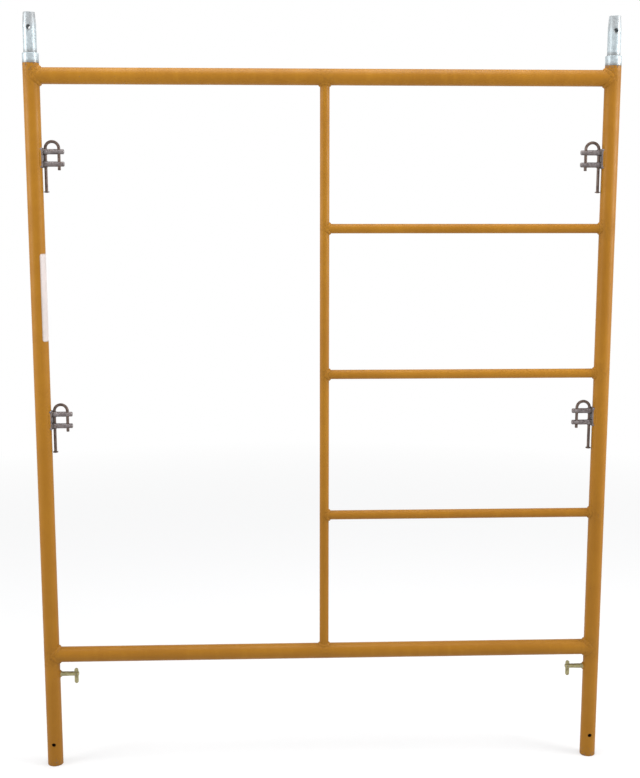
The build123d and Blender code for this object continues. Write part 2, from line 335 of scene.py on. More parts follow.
def bead_ring(at, branch, branch_radius, main_radius, width, bulge, ease, seed, pitch=0.003):
    """Rings of a weld bead round a branch tube on a main tube. Both axes lie in the plane y = 0."""
    at = np.array(at, float)
    out = np.array(branch, float)
    across = np.array((0, 1.0, 0))
    third = np.cross(out, across)
    count = int(2 * math.pi * branch_radius * 1.15 / pitch) * 9
    turn = np.linspace(0, 2 * math.pi, count, endpoint=False)
    y = branch_radius * np.cos(turn)
    h = branch_radius * np.sin(turn)
    reach = np.sqrt(np.maximum(main_radius**2 - y**2, 0) + ease**2)
    seam = at + y[:, None] * across + h[:, None] * third + reach[:, None] * out
    tangent = np.roll(seam, -1, 0) - np.roll(seam, 1, 0)
    step = np.linalg.norm(tangent, axis=1)
    tangent /= step[:, None]
    run = np.cumsum(step) / 2
    lap = run[-1]
    n_branch = np.cos(turn)[:, None] * across + np.sin(turn)[:, None] * third
    n_main = y[:, None] * across + reach[:, None] * out
    n_main /= np.linalg.norm(n_main, axis=1)[:, None]
    t_main = np.cross(tangent, n_main)
    t_main *= np.sign((t_main * n_branch).sum(1))[:, None]
    t_branch = np.cross(tangent, n_branch)
    t_branch *= np.sign((t_branch @ out))[:, None]
    mean = n_main + n_branch
    mean /= np.linalg.norm(mean, axis=1)[:, None]
    ripples = round(lap / pitch)
    wide = width * (1 + 0.07 * wander(seed + "w", (4, 7, 13, 23))(run / lap))
    proud = bulge * (1 + 0.18 * wander(seed + "b", (5, 9, 17))(run / lap))
    lag = 0.25 * wander(seed + "l", (6, 11))(run / lap)
    rings = []
    for share in np.linspace(0, 1, 11):
        crest = 4 * share * (1 - share)
        phase = 2 * math.pi * (ripples * run / lap + lag + 0.55 * (1 - crest))
        wave = BEAD_RIPPLE * crest**0.5 * (0.6 * np.sin(phase) + 0.4 * np.abs(np.sin(phase / 2)) - 0.2)
        point = seam + (wide * (1 - share))[:, None] * t_main + (wide * share)[:, None] * t_branch
        point = point + (proud * crest + wave)[:, None] * mean
        rings.append(point)
    rings[0] = onto(rings[0], at, out, across, main_radius - BEAD_SINK, main=True)
    rings[-1] = onto(rings[-1], at, out, across, branch_radius - BEAD_SINK, main=False)
    root = seam - BEAD_ROOT * mean
    return np.array(rings + [root]).swapaxes(0, 1)


def onto(points, at, out, across, radius, main):
    """Moves points to a radius from the main tube's axis, or from the branch's."""
    third = np.cross(out, across)
    fixed = third if main else out
    local = points - at
    keep = (local @ fixed)[:, None] * fixed
    rest = local - keep
    return at + keep + rest / np.linalg.norm(rest, axis=1)[:, None] * radius


def merged(name, parts):
    """One object from several, which are removed."""
    form = bmesh.new()
    for part in parts:
        form.from_mesh(part.data)
    mesh = bpy.data.meshes.new(name)
    form.to_mesh(mesh)
    form.free()
    for part in parts:
        bpy.data.objects.remove(part)
    obj = bpy.data.objects.new(name, mesh)
    bpy.context.scene.collection.objects.link(obj)
    return obj


def beads(name, joints, **form):
    """Several weld beads as one object. A joint is (centre, branch direction, branch radius, main radius)."""
    parts = [
        loops(f"{name}_{i}", bead_ring(*joint, seed=f"{name}{i}", **form), True, sharp=70)
        for i, joint in enumerate(joints)
    ]
    return merged(name, parts)


def stand_off(side, reach, y, z):
    """The point that stands off a leg's inner face by reach."""
    return (side * (LEG_FACE - reach), y, z)


# ---------------------------------------------------------------------------
# Materials
# ---------------------------------------------------------------------------
class Graph:
    """Short calls for building one procedural material."""

    def __init__(self, name):
        self.material = bpy.data.materials.new(name)
        self.material.use_nodes = True
        self.tree = self.material.node_tree
        self.tree.nodes.clear()
        self.place = self.add("ShaderNodeTexCoord").outputs["Object"]

    def add(self, kind, inputs=None, **settings):
        """A new node. Each input is a value or another node's output."""
        node = self.tree.nodes.new(kind)
        for key, value in settings.items():
            setattr(node, key, value)
        for key, value in (inputs or {}).items():
            if isinstance(value, bpy.types.NodeSocket):
                self.tree.links.new(value, node.inputs[key])
            elif isinstance(value, tuple) and len(value) == 3 and node.inputs[key].type == "RGBA":
                node.inputs[key].default_value = (*value, 1)
            else:
                node.inputs[key].default_value = value
        return node

    def noise(self, scale, detail=3.0, stretch=(1, 1, 1), warp=0.0):
        """Noise from 0 to 1, with its pattern drawn out along an axis where stretch is small."""
        vector = self.add("ShaderNodeMapping", {"Vector": self.place, "Scale": stretch}).outputs[0]
        inputs = {"Vector": vector, "Scale": scale, "Detail": detail, "Distortion": warp}
        return self.add("ShaderNodeTexNoise", inputs).outputs["Fac"]

    def cells(self, scale):
        """A different random colour in each cell of a Voronoi pattern."""
        return self.add("ShaderNodeTexVoronoi", {"Vector": self.place, "Scale": scale}).outputs["Color"]

    def attribute(self, name):
        """A value stored at the mesh's points."""
        return self.add("ShaderNodeAttribute", attribute_name=name).outputs["Fac"]

    def fit(self, value, low, high, to_low=0.0, to_high=1.0):
        """The value moved from the range low to high into the range to_low to to_high, and held there."""
        inputs = {"Value": value, "From Min": low, "From Max": high, "To Min": to_low, "To Max": to_high}
        return self.add("ShaderNodeMapRange", inputs).outputs["Result"]

    def math(self, operation, a, b=0.0):
        """The result of an operation on one or two numbers."""
        return self.add("ShaderNodeMath", {0: a, 1: b}, operation=operation).outputs[0]

    def mix(self, amount, a, b):
        """A blend of two colours."""
        return self.add("ShaderNodeMix", {0: amount, 6: a, 7: b}, data_type="RGBA").outputs[2]

    def bump(self, height, distance, strength=1.0, normal=None):
        """The normal of a rough surface, on top of another one if it is given."""
        inputs = {"Height": height, "Distance": distance, "Strength": strength}
        if normal is not None:
            inputs["Normal"] = normal
        return self.add("ShaderNodeBump", inputs).outputs["Normal"]

    def height(self):
        """Height above the ground, at rest."""
        return self.add("ShaderNodeSeparateXYZ", {0: self.place}).outputs["Z"]

    def surface(self, **inputs):
        """Finishes the material with a Principled shader and gives it back."""
        names = {key.replace("_", " "): value for key, value in inputs.items()}
        shader = self.add("ShaderNodeBsdfPrincipled", names)
        self.tree.links.new(shader.outputs[0], self.add("ShaderNodeOutputMaterial").inputs["Surface"])
        return self.material


# Colours are linear red, green and blue
OCHRE_DEEP = (0.288, 0.119, 0.0050)
OCHRE_BRIGHT = (0.340, 0.147, 0.0075)
OCHRE_CLOUD = (0.250, 0.098, 0.0040)
OCHRE_SAG = (0.400, 0.188, 0.0140)
OCHRE_FOOT_SHADE_AND_SOIL = (0.200, 0.080, 0.0040)
PAINT_SOIL_AND_SHADE = (0.115, 0.052, 0.010)
CHIP_EDGE = (0.130, 0.052, 0.010)
CHIP_STEEL = (0.125, 0.108, 0.094)
CHIP_RUST = (0.095, 0.048, 0.026)

SPANGLE_DARK = (0.325, 0.375, 0.398)
SPANGLE_PALE = (0.445, 0.505, 0.532)
SPANGLE_CLOUD = (0.315, 0.355, 0.372)
ZINC_RUB = (0.27, 0.28, 0.29)
TIP_RUB = (0.255, 0.240, 0.235)
ZINC_SOIL_AND_SHADE = (0.15, 0.14, 0.13)

PLATING_STAIN = (0.145, 0.090, 0.055)
PLATING_SOIL_AND_SHADE = (0.055, 0.042, 0.032)
LOCK_ZINC_PALE, LOCK_ZINC_DARK = (0.245, 0.220, 0.220), (0.132, 0.112, 0.112)
BROWN_ROD_PALE, BROWN_ROD_DARK = (0.150, 0.112, 0.096), (0.075, 0.052, 0.043)
YELLOW_ZINC_PALE, YELLOW_ZINC_DARK = (0.410, 0.375, 0.205), (0.275, 0.245, 0.120)

MILL_SCALE = (0.060, 0.052, 0.047)
BORE_RUST = (0.150, 0.060, 0.022)

VINYL = (0.56, 0.49, 0.47)
VINYL_YELLOWED = (0.49, 0.44, 0.42)
VINYL_SCUFF = (0.42, 0.36, 0.33)
VINYL_SOIL = (0.30, 0.22, 0.15)


def ochre_enamel():
    """Dipped ochre enamel: slow drift in hue, sags down the tubes, orange peel, chips at worn ends, soil with
    painted shade near joints, and painted shade with some soil towards the feet.
    """
    g = Graph("ochre_enamel")
    drift = g.noise(2.3, 2.0)
    cloud = g.noise(22.0, 4.0, warp=0.4)
    sag = g.noise(70.0, 3.0, stretch=(1, 1, 0.05))
    peel = g.noise(900.0, 2.0)
    dust = g.noise(3200.0, 1.0)
    colour = g.mix(g.fit(drift, 0.35, 0.65), OCHRE_DEEP, OCHRE_BRIGHT)
    colour = g.mix(g.fit(cloud, 0.3, 0.7, 0.0, 0.35), colour, OCHRE_CLOUD)
    colour = g.mix(g.fit(sag, 0.5, 0.75, 0.0, 0.22), colour, OCHRE_SAG)
    # Darker towards the feet: painted shade of the light from above, with some soil near the ground
    low = g.fit(g.height(), 1.05, 0.10, 0.0, 0.35)
    colour = g.mix(low, colour, OCHRE_FOOT_SHADE_AND_SOIL)
    # Soil near joints, holes and feet, darkened further as painted shade of these recesses
    soil_and_shade = g.attribute("soil_and_shade")
    soil = g.math("MULTIPLY", soil_and_shade, g.fit(g.noise(160.0, 5.0), 0.35, 0.7))
    colour = g.mix(g.fit(soil, 0.0, 1.0, 0.0, 0.28), colour, PAINT_SOIL_AND_SHADE)
    wear = g.attribute("wear")
    flake = g.math("ADD", g.noise(260.0, 6.0, warp=0.8), g.math("MULTIPLY", wear, 0.17))
    chip = g.fit(flake, 0.735, 0.748)
    colour = g.mix(g.fit(flake, 0.715, 0.735, 0.0, 0.8), colour, CHIP_EDGE)
    bare = g.mix(g.fit(cloud, 0.4, 0.6), CHIP_STEEL, CHIP_RUST)
    colour = g.mix(chip, colour, bare)
    rough = g.fit(cloud, 0.3, 0.7, 0.38, 0.54)
    rough = g.math("ADD", rough, g.math("MULTIPLY", soil, 0.25))
    rough = g.math("ADD", rough, g.math("MULTIPLY", chip, 0.2))
    normal = g.bump(peel, 0.00010, 0.55)
    normal = g.bump(sag, 0.00055, 0.6, normal)
    normal = g.bump(dust, 0.00002, 0.5, normal)
    normal = g.bump(g.math("SUBTRACT", 1.0, chip), 0.00012, 0.9, normal)
    return g.surface(Base_Color=colour, Roughness=rough, Normal=normal, Specular_IOR_Level=0.2)


def galvanised():
    """Hot-dip galvanised steel: pale zinc with soft spangle, handling marks and rubbed tips."""
    g = Graph("galvanised_zinc")
    tone = g.add("ShaderNodeSeparateColor", {0: g.cells(190.0)}).outputs[0]
    cloud = g.noise(35.0, 4.0, warp=0.5)
    rub = g.noise(240.0, 4.0, stretch=(1, 1, 0.08))
    colour = g.mix(g.fit(tone, 0.1, 0.9), SPANGLE_DARK, SPANGLE_PALE)
    colour = g.mix(g.fit(cloud, 0.35, 0.75, 0.0, 0.40), colour, SPANGLE_CLOUD)
    colour = g.mix(g.fit(rub, 0.58, 0.72, 0.0, 0.35), colour, ZINC_RUB)
    tip = g.math("MULTIPLY", g.attribute("wear"), g.fit(rub, 0.30, 0.65, 0.25, 0.60))
    colour = g.mix(tip, colour, TIP_RUB)
    # Soil with painted shade at the collar, the cross-hole and the joints
    colour = g.mix(g.math("MULTIPLY", g.attribute("soil_and_shade"), 0.75), colour, ZINC_SOIL_AND_SHADE)
    rough = g.math("ADD", g.fit(tone, 0.0, 1.0, 0.32, 0.50), g.fit(rub, 0.5, 0.8, 0.0, 0.15))
    normal = g.bump(cloud, 0.0003, 0.4)
    normal = g.bump(g.noise(1500.0, 2.0), 0.00003, 0.5, normal)
    return g.surface(Base_Color=colour, Metallic=0.4, Roughness=rough, Normal=normal, Specular_IOR_Level=0.35)


def dull_zinc(name, light, dark, marks_scale):
    """Zinc plating gone dull, with brownish stain and fine tool marks round each turned face."""
    g = Graph(name)
    cloud = g.noise(95.0, 5.0, warp=0.6)
    stain = g.noise(210.0, 4.0, warp=0.9)
    marks = g.noise(marks_scale, 2.0, stretch=(1, 0.08, 0.08))
    colour = g.mix(g.fit(cloud, 0.35, 0.65), dark, light)
    colour = g.mix(g.fit(stain, 0.52, 0.72, 0.0, 0.6), colour, PLATING_STAIN)
    # Soil with painted shade round stud feet, holes, pivots and joints
    colour = g.mix(g.math("MULTIPLY", g.attribute("soil_and_shade"), 0.7), colour, PLATING_SOIL_AND_SHADE)
    rough = g.fit(cloud, 0.3, 0.7, 0.34, 0.55)
    normal = g.bump(marks, 0.00005, 0.5)
    normal = g.bump(stain, 0.00012, 0.5, normal)
    return g.surface(Base_Color=colour, Metallic=0.8, Roughness=rough, Normal=normal)


def bare_inside():
    """Unpainted tube bore: dark mill scale with a bloom of rust."""
    g = Graph("tube_bore")
    rust = g.noise(120.0, 6.0, warp=0.7)
    colour = g.mix(g.fit(rust, 0.45, 0.7), MILL_SCALE, BORE_RUST)
    normal = g.bump(rust, 0.0004, 0.5)
    rough = g.fit(rust, 0.3, 0.7, 0.5, 0.85)
    return g.surface(Base_Color=colour, Metallic=0.3, Roughness=rough, Normal=normal)


def label_film():
    """Pale vinyl with no print: faint yellowing, a few scuffs and soil at its edges."""
    g = Graph("label_vinyl")
    cloud = g.noise(30.0, 3.0)
    scuff = g.noise(420.0, 4.0, stretch=(1, 1, 0.2), warp=0.5)
    colour = g.mix(g.fit(cloud, 0.35, 0.65), VINYL, VINYL_YELLOWED)
    colour = g.mix(g.fit(scuff, 0.60, 0.70, 0.0, 0.5), colour, VINYL_SCUFF)
    colour = g.mix(g.math("MULTIPLY", g.attribute("soil_and_shade"), 0.8), colour, VINYL_SOIL)
    normal = g.bump(cloud, 0.0004, 0.5)
    normal = g.bump(scuff, 0.00004, 0.5, normal)
    rough = g.fit(scuff, 0.3, 0.7, 0.28, 0.45)
    return g.surface(Base_Color=colour, Roughness=rough, Normal=normal)


PAINT = ochre_enamel()
PALE_ZINC = galvanised()
LOCK_ZINC = dull_zinc("dull_zinc", LOCK_ZINC_PALE, LOCK_ZINC_DARK, 1800.0)
ROD_STEEL = dull_zinc("browned_rod", BROWN_ROD_PALE, BROWN_ROD_DARK, 2600.0)
YELLOW_ZINC = dull_zinc("yellow_zinc", YELLOW_ZINC_PALE, YELLOW_ZINC_DARK, 1800.0)
BORE = bare_inside()
LABEL = label_film()

# Where the tubes meet, as (point, radius of a ball that the soil and painted shade in the corner start from)
CORNER_MARGIN = 0.004
CORNERS = []
for corner_z in (HEADER_Z, BOTTOM_Z):
    CORNERS.append((Vector((-LEG_X, 0, corner_z)), 1.45 * LEG_RADIUS))
    CORNERS.append((Vector((LEG_X, 0, corner_z)), 1.45 * LEG_RADIUS))
    CORNERS.append((Vector((0, 0, corner_z)), LEG_RADIUS + CORNER_MARGIN))
for rung in RUNGS:
    CORNERS.append((Vector((0, 0, middle(rung).z)), 1.5 * POST_RADIUS))
    CORNERS.append((Vector((LEG_X, 0, middle(rung).z)), LEG_RADIUS + CORNER_MARGIN))
SOIL_AND_SHADE_REACH = 0.018
WELD_SOIL_AND_SHADE_REACH = 0.006
WEAR_REACH = 0.020


def mark_soil_shade_and_wear(obj, spots, ends, reach):
    """Marks soil and painted shade out to reach from the corners and spots, and wear near the ends, all
    (point, radius).
    """
    soil_and_shade = obj.data.attributes.new("soil_and_shade", "FLOAT", "POINT")
    wear = obj.data.attributes.new("wear", "FLOAT", "POINT")
    points = np.array([v.co for v in obj.data.vertices])

    def near(places, distance):
        worst = np.zeros(len(points))
        for point, radius in places:
            gap = np.linalg.norm(points - np.array(point), axis=1) - radius
            worst = np.maximum(worst, np.clip(1 - gap / distance, 0, 1) ** 1.6)
        return worst

    # Darker near joints, holes and feet: soil together with painted shade of these recesses
    soil_and_shade.data.foreach_set("value", near(CORNERS + list(spots), reach).astype(np.float32))
    wear.data.foreach_set("value", near(ends, WEAR_REACH).astype(np.float32))


def show(obj, body, material, nodes, spots=(), ends=(), reach=SOIL_AND_SHADE_REACH):
    """Gives a finished piece its looks and puts it on its CAD body in place of the nodes."""
    mark_soil_shade_and_wear(obj, spots, ends, reach)
    if not obj.data.materials:
        obj.data.materials.append(material)
    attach(obj, body)
    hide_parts(*nodes)


# ---------------------------------------------------------------------------
# Frame tubes
# ---------------------------------------------------------------------------
def leg(side_name, side):
    """An open tube with a stepped bore, rolled lips and a lock-pin hole through its foot."""
    bore = LEG_RADIUS - TUBE_WALL
    lip = [
        (bore, SOCKET_DEPTH + 0.001),
        (SOCKET_RADIUS, SOCKET_DEPTH),
        (SOCKET_RADIUS, 0),
        (LEG_RADIUS, 0),
        (LEG_RADIUS, LEG_TOP),
        (bore, LEG_TOP),
    ]
    profile = split(eased(lip, LIP_RADIUS, closed=True, steps=3), 0.02, closed=True)
    name = f"{side_name}_leg_tube"
    shape = ripple(name, DRAWN_RIPPLE, (3, 8, 19), (2, 3, 5))
    tube = turned(name, profile, (side * LEG_X, 0, 0), (0, 0, 1), shape=shape)
    cut(tube, drill((side * LEG_X, 0, LOCK_HOLE_HEIGHT), (0, 1, 0), LOCK_HOLE_RADIUS))
    tube.data.materials.clear()
    tube.data.materials.append(PAINT)
    tube.data.materials.append(BORE)
    for face in tube.data.polygons:
        across = face.center - Vector((side * LEG_X, 0, face.center.z))
        if across.length < LEG_RADIUS - 0.7 * TUBE_WALL:
            face.material_index = 1
    ends = [(Vector((side * LEG_X, 0, z)), LEG_RADIUS) for z in (0, LEG_TOP)]
    spots = [(Vector((side * LEG_X, 0, 0)), LEG_RADIUS)]
    show(tube, "frame", PAINT, [f"{side_name}_leg"], spots, ends)


for side_name, side in SIDES.items():
    leg(side_name, side)

for node, z in (("header_bar", HEADER_Z), ("bottom_bar", BOTTOM_Z)):
    ends = ((-LEG_X, 0, z), (LEG_X, 0, z))
    bar = coped(f"{node}_tube", *ends, LEG_RADIUS, TUBE_WALL, LEG_RADIUS, LEG_RADIUS, TUBE_EASE)
    show(bar, "frame", PAINT, [node])

ends = ((0, 0, BOTTOM_Z), (0, 0, HEADER_Z))
post = coped("centre_post_tube", *ends, POST_RADIUS, RUNG_WALL, LEG_RADIUS, LEG_RADIUS, POST_EASE, 72)
show(post, "frame", PAINT, ["centre_post"])

for rung in RUNGS:
    z = middle(rung).z
    ends = ((0, 0, z), (LEG_X, 0, z))
    bar = coped(f"{rung}_tube", *ends, POST_RADIUS, RUNG_WALL, POST_RADIUS, LEG_RADIUS, RUNG_EASE, 72)
    show(bar, "frame", PAINT, [rung])

# Weld beads
for node, z in (("header_welds", HEADER_Z), ("bottom_bar_welds", BOTTOM_Z)):
    joints = [((s * LEG_X, 0, z), (-s, 0, 0), LEG_RADIUS, LEG_RADIUS) for s in SIDES.values()]
    bead = beads(node.replace("welds", "bead"), joints, width=0.0050, bulge=0.0007, ease=TUBE_EASE)
    show(bead, "frame", PAINT, [node], reach=WELD_SOIL_AND_SHADE_REACH)

joints = [
    ((0, 0, HEADER_Z), (0, 0, -1), POST_RADIUS, LEG_RADIUS),
    ((0, 0, BOTTOM_Z), (0, 0, 1), POST_RADIUS, LEG_RADIUS),
]
bead = beads("centre_post_bead", joints, width=0.0042, bulge=0.0006, ease=POST_EASE)
show(bead, "frame", PAINT, ["centre_post_welds"], reach=WELD_SOIL_AND_SHADE_REACH)

joints = []
for rung in RUNGS:
    z = middle(rung).z
    joints.append(((0, 0, z), (1, 0, 0), POST_RADIUS, POST_RADIUS))
    joints.append(((LEG_X, 0, z), (-1, 0, 0), POST_RADIUS, LEG_RADIUS))
bead = beads("rung_bead", joints, width=0.0042, bulge=0.0006, ease=RUNG_EASE)
show(bead, "frame", PAINT, ["rung_welds"], reach=WELD_SOIL_AND_SHADE_REACH)


# ---------------------------------------------------------------------------
# Brace locks
# ---------------------------------------------------------------------------
def outline(width, height, corner, steps=8):
    """Points round a rectangle with rounded corners, as (across, up)."""
    points = []
    for quarter, (sx, sy) in enumerate(((1, 1), (-1, 1), (-1, -1), (1, -1))):
        centre = (sx * (width / 2 - corner), sy * (height / 2 - corner))
        for k in range(steps + 1):
            turn = math.radians(90 * (quarter + k / steps))
            points.append((centre[0] + corner * math.cos(turn), centre[1] + corner * math.sin(turn)))
    return split(points, 0.003, closed=True)


def lock_plate(name, side, node):
    """A pressed saddle plate with rolled edges, hollow behind to fit the leg."""
    z = middle(node).z
    width = size(node).y
    height = size(node).z
    rings = []
    for inset, depth in PLATE_EDGE:
        edge = outline(width - 2 * inset, height - 2 * inset, max(PLATE_CORNER - inset, 0.0006))
        rings.append((edge, [PLATE_THICK - depth] * len(edge)))
    edge = outline(width, height, PLATE_CORNER)
    back = [math.sqrt(LEG_RADIUS**2 - y * y) - LEG_RADIUS - 0.0002 for y, _ in edge]
    rings.append((edge, back))
    count = max(len(edge) for edge, _ in rings)
    placed = []
    for edge, depths in rings:
        steps = np.linspace(0, len(edge), count, endpoint=False)
        closed = np.array([(y, up, d) for (y, up), d in zip(edge, depths)] + [(*edge[0], depths[0])])
        spot = np.array([np.interp(steps, range(len(closed)), closed[:, k]) for k in range(3)]).T
        placed.append([stand_off(side, d, y, z + up) for y, up, d in spot])
    return loops(name, placed, False, sharp=40)


def plate_bead(name, side, edge, node):
    """A bead in the corner between the leg and a saddle plate's long edge: -1 in front, 1 behind."""
    z = middle(node).z
    length = size(node).z - PLATE_BEAD_SHORTER
    y = edge * size(node).y / 2
    depth = math.sqrt(LEG_RADIUS**2 - y * y) - LEG_RADIUS
    seam = np.array((depth, y))
    n_main = np.array((depth + LEG_RADIUS, y)) / LEG_RADIUS
    t_main = np.array((-edge * n_main[1], edge * n_main[0]))
    mean = n_main + np.array((0, edge))
    mean /= np.linalg.norm(mean)
    t_plate = np.array((1.0, 0))
    axis = np.array((-LEG_RADIUS, 0))
    root = seam - PLATE_BEAD_ROOT * mean
    wide = wander(name, (3, 5, 8))
    rings = []
    for t in np.linspace(0, 1, 130):
        up = z + (t - 0.5) * length
        taper = (1 - abs(2 * t - 1) ** 6) ** 0.5
        width = PLATE_BEAD_WIDTH * (0.12 + 0.88 * taper) * (1 + 0.08 * wide(t))
        ring = []
        for share in np.linspace(0, 1, 9):
            crest = 4 * share * (1 - share)
            wave = PLATE_BEAD_RIPPLE * crest**0.5 * math.sin(2 * math.pi * (15 * t + 0.5 * (1 - crest)))
            proud = PLATE_BEAD_BULGE * crest * taper + wave
            point = seam + width * ((1 - share) * t_main + share * t_plate) + proud * mean
            if share == 0:
                # The bead's edge on the leg sinks just under the leg's surface
                point = axis + (point - axis) / np.linalg.norm(point - axis) * (LEG_RADIUS - PLATE_BEAD_SINK)
            ring.append(stand_off(side, point[0], point[1], up))
        ring.append(stand_off(side, root[0], root[1], up))
        rings.append(ring)
    return loops(name, rings, False, sharp=70)


def stud(name, side, z, radii, steps):
    """A stepped stud with a filleted foot, a brace seat and a bevelled tip.

    steps are the distances from the leg's face where the foot, seat and tip start, and where the tip ends.
    """
    foot, seat, tip = radii
    foot_start, seat_start, tip_start, end = steps
    profile = [
        (0.3 * foot, foot_start - 0.0006),
        (foot + 0.0009, foot_start - 0.0004),
        (foot + 0.0008, foot_start + 0.0002),
        (foot + 0.0001, foot_start + 0.0010),
        (foot, seat_start),
        (seat, seat_start),
        (seat, tip_start),
        (tip, tip_start),
        (tip, end - STUD_CHAMFER),
        (tip - STUD_CHAMFER, end),
        (0.4 * tip, end),
    ]
    profile = split(eased(profile, 0.0005), 0.004)
    return turned(name, profile, stand_off(side, 0, 0, z), (-side, 0, 0), segments=72, closed=False, sharp=38)


def rod(name, side, z, line, radius, segments=32):
    """A bent round rod along (reach, height) points, with broken edges at both ends."""
    line = np.array(line, float)
    tangent = np.gradient(line, axis=0)
    tangent /= np.linalg.norm(tangent, axis=1)[:, None]
    turn = np.linspace(0, 2 * math.pi, segments, endpoint=False)
    stations = []
    for back, less in ROD_END:
        stations.append((line[0] + tangent[0] * back, tangent[0], radius * (1 - less)))
    for point, direction in zip(line[1:-1], tangent[1:-1]):
        stations.append((point, direction, radius))
    for back, less in reversed(ROD_END):
        stations.append((line[-1] - tangent[-1] * back, tangent[-1], radius * (1 - less)))
    rings = []
    for point, direction, r in stations:
        normal = np.array((-direction[1], direction[0]))
        ring = []
        for a in turn:
            p = point + r * math.cos(a) * normal
            ring.append(stand_off(side, p[0], r * math.sin(a), z + p[1]))
        rings.append(ring)
    return loops(name, rings, False, sharp=50)


def cane_line(node, z):
    """A cane's centre line, up its long leg and down its short one, its radius and both legs' reaches."""
    low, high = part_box(node)
    radius = size(node).y / 2
    reaches = sorted((LEG_FACE - abs(low.x), LEG_FACE - abs(high.x)))
    near, far = reaches[0] + radius, reaches[1] - radius
    bend = (far - near) / 2
    top = high.z - z - radius - bend
    line = [(near, h) for h in np.linspace(low.z - z, top, 24)]
    for k in range(1, 32):
        turn = math.pi * (1 - k / 32)
        line.append((near + bend + bend * math.cos(turn), top + bend * math.sin(turn)))
    line += [(far, h) for h in np.linspace(top, -SHORT_LEG_DROP, 16)]
    return line, radius, near, far


def brace_lock(level, side_name, side):
    """Plate, welds, two drilled studs, cane and stop ring of one lock."""
    prefix = f"{level}_{side_name}"
    z = middle(f"{prefix}_lock_plate").z
    line, radius, near, far = cane_line(f"{prefix}_lock_cane", z)
    plate = lock_plate(f"{prefix}_saddle", side, f"{prefix}_lock_plate")
    studs = []
    feet = []
    holes = []
    for up in (z - STUD_PITCH / 2, z + STUD_PITCH / 2):
        piece = stud("stud", side, up, BRACE_STUD_RADII, BRACE_STUD_STEPS)
        places = [stand_off(side, reach, 0, up) for reach in (near, far)]
        drills = [drill(place, (0, 0, 1), radius + CANE_PLAY) for place in places]
        studs.append(cut(piece, *drills, sharp=38))
        feet.append((Vector(stand_off(side, PLATE_THICK, 0, up)), 0.009))
        mouths = [Vector((0, 0, way * BRACE_STUD_RADII[1])) for way in (-1, 1)]
        holes += [(Vector(place) + mouth, 0.0042) for place in places for mouth in mouths]
    pair = merged(f"{prefix}_studs", studs)
    show(plate, "frame", LOCK_ZINC, [f"{prefix}_lock_plate"], feet, reach=0.004)
    show(pair, "frame", LOCK_ZINC, [f"{prefix}_brace_studs"], feet + holes, reach=0.0025)
    cane = rod(f"{prefix}_cane", side, z, line, radius)
    show(cane, f"{prefix}_cane", ROD_STEEL, [f"{prefix}_lock_cane"])
    stop = size(f"{prefix}_cane_stop")
    foot = stand_off(side, near, 0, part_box(f"{prefix}_cane_stop")[0].z)
    inner = radius - 0.0002
    section = eased([(inner, 0), (stop.y / 2, 0), (stop.y / 2, stop.z), (inner, stop.z)], 0.0006, closed=True)
    ring = turned(f"{prefix}_stop_ring", section, foot, (0, 0, 1), 48)
    show(ring, f"{prefix}_cane", ROD_STEEL, [f"{prefix}_cane_stop"])
    return [plate_bead(f"{prefix}_b{edge}", side, edge, f"{prefix}_lock_plate") for edge in (-1, 1)]


plate_beads = []
for level in LEVELS:
    for side_name, side in SIDES.items():
        plate_beads += brace_lock(level, side_name, side)
bead = merged("lock_plate_bead", plate_beads)
show(bead, "frame", PAINT, ["lock_plate_welds"])


# ---------------------------------------------------------------------------
# Base studs and toggles
# ---------------------------------------------------------------------------
def drop_toggle(name, node, pivot):
    """A flat bar with round ends, bevelled edges and a hole for the pivot pin nearer its upper end."""
    width, thick, tall = size(node)
    bevel = TOGGLE_BEVEL
    rim = np.array(outline(width, tall, width / 2 - 0.00001, 16)) + np.array((0, middle(node).z - pivot.z))
    # The ends are half circles about the two ends of this middle line
    low_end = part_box(node)[0].z - pivot.z + width / 2
    high_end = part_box(node)[1].z - pivot.z - width / 2
    spine = np.stack([np.zeros(len(rim)), np.clip(rim[:, 1], low_end, high_end)], axis=1)
    outward = rim - spine
    outward /= np.linalg.norm(outward, axis=1)[:, None]
    facing = rim / np.linalg.norm(rim, axis=1)[:, None]
    rings = []
    for shape, inset, y in (
        ("hole", 0, -thick / 2 + bevel),
        ("hole", bevel, -thick / 2),
        ("rim", bevel, -thick / 2),
        ("rim", 0.3 * bevel, -thick / 2 + 0.2 * bevel),
        ("rim", 0, -thick / 2 + bevel),
        ("rim", 0, thick / 2 - bevel),
        ("rim", 0.3 * bevel, thick / 2 - 0.2 * bevel),
        ("rim", bevel, thick / 2),
        ("hole", bevel, thick / 2),
        ("hole", 0, thick / 2 - bevel),
    ):
        flat = rim - outward * inset if shape == "rim" else facing * (TOGGLE_HOLE_RADIUS + inset)
        rings.append([(pivot.x + across, y, pivot.z + up) for across, up in flat])
    return loops(name, rings, True, sharp=40)


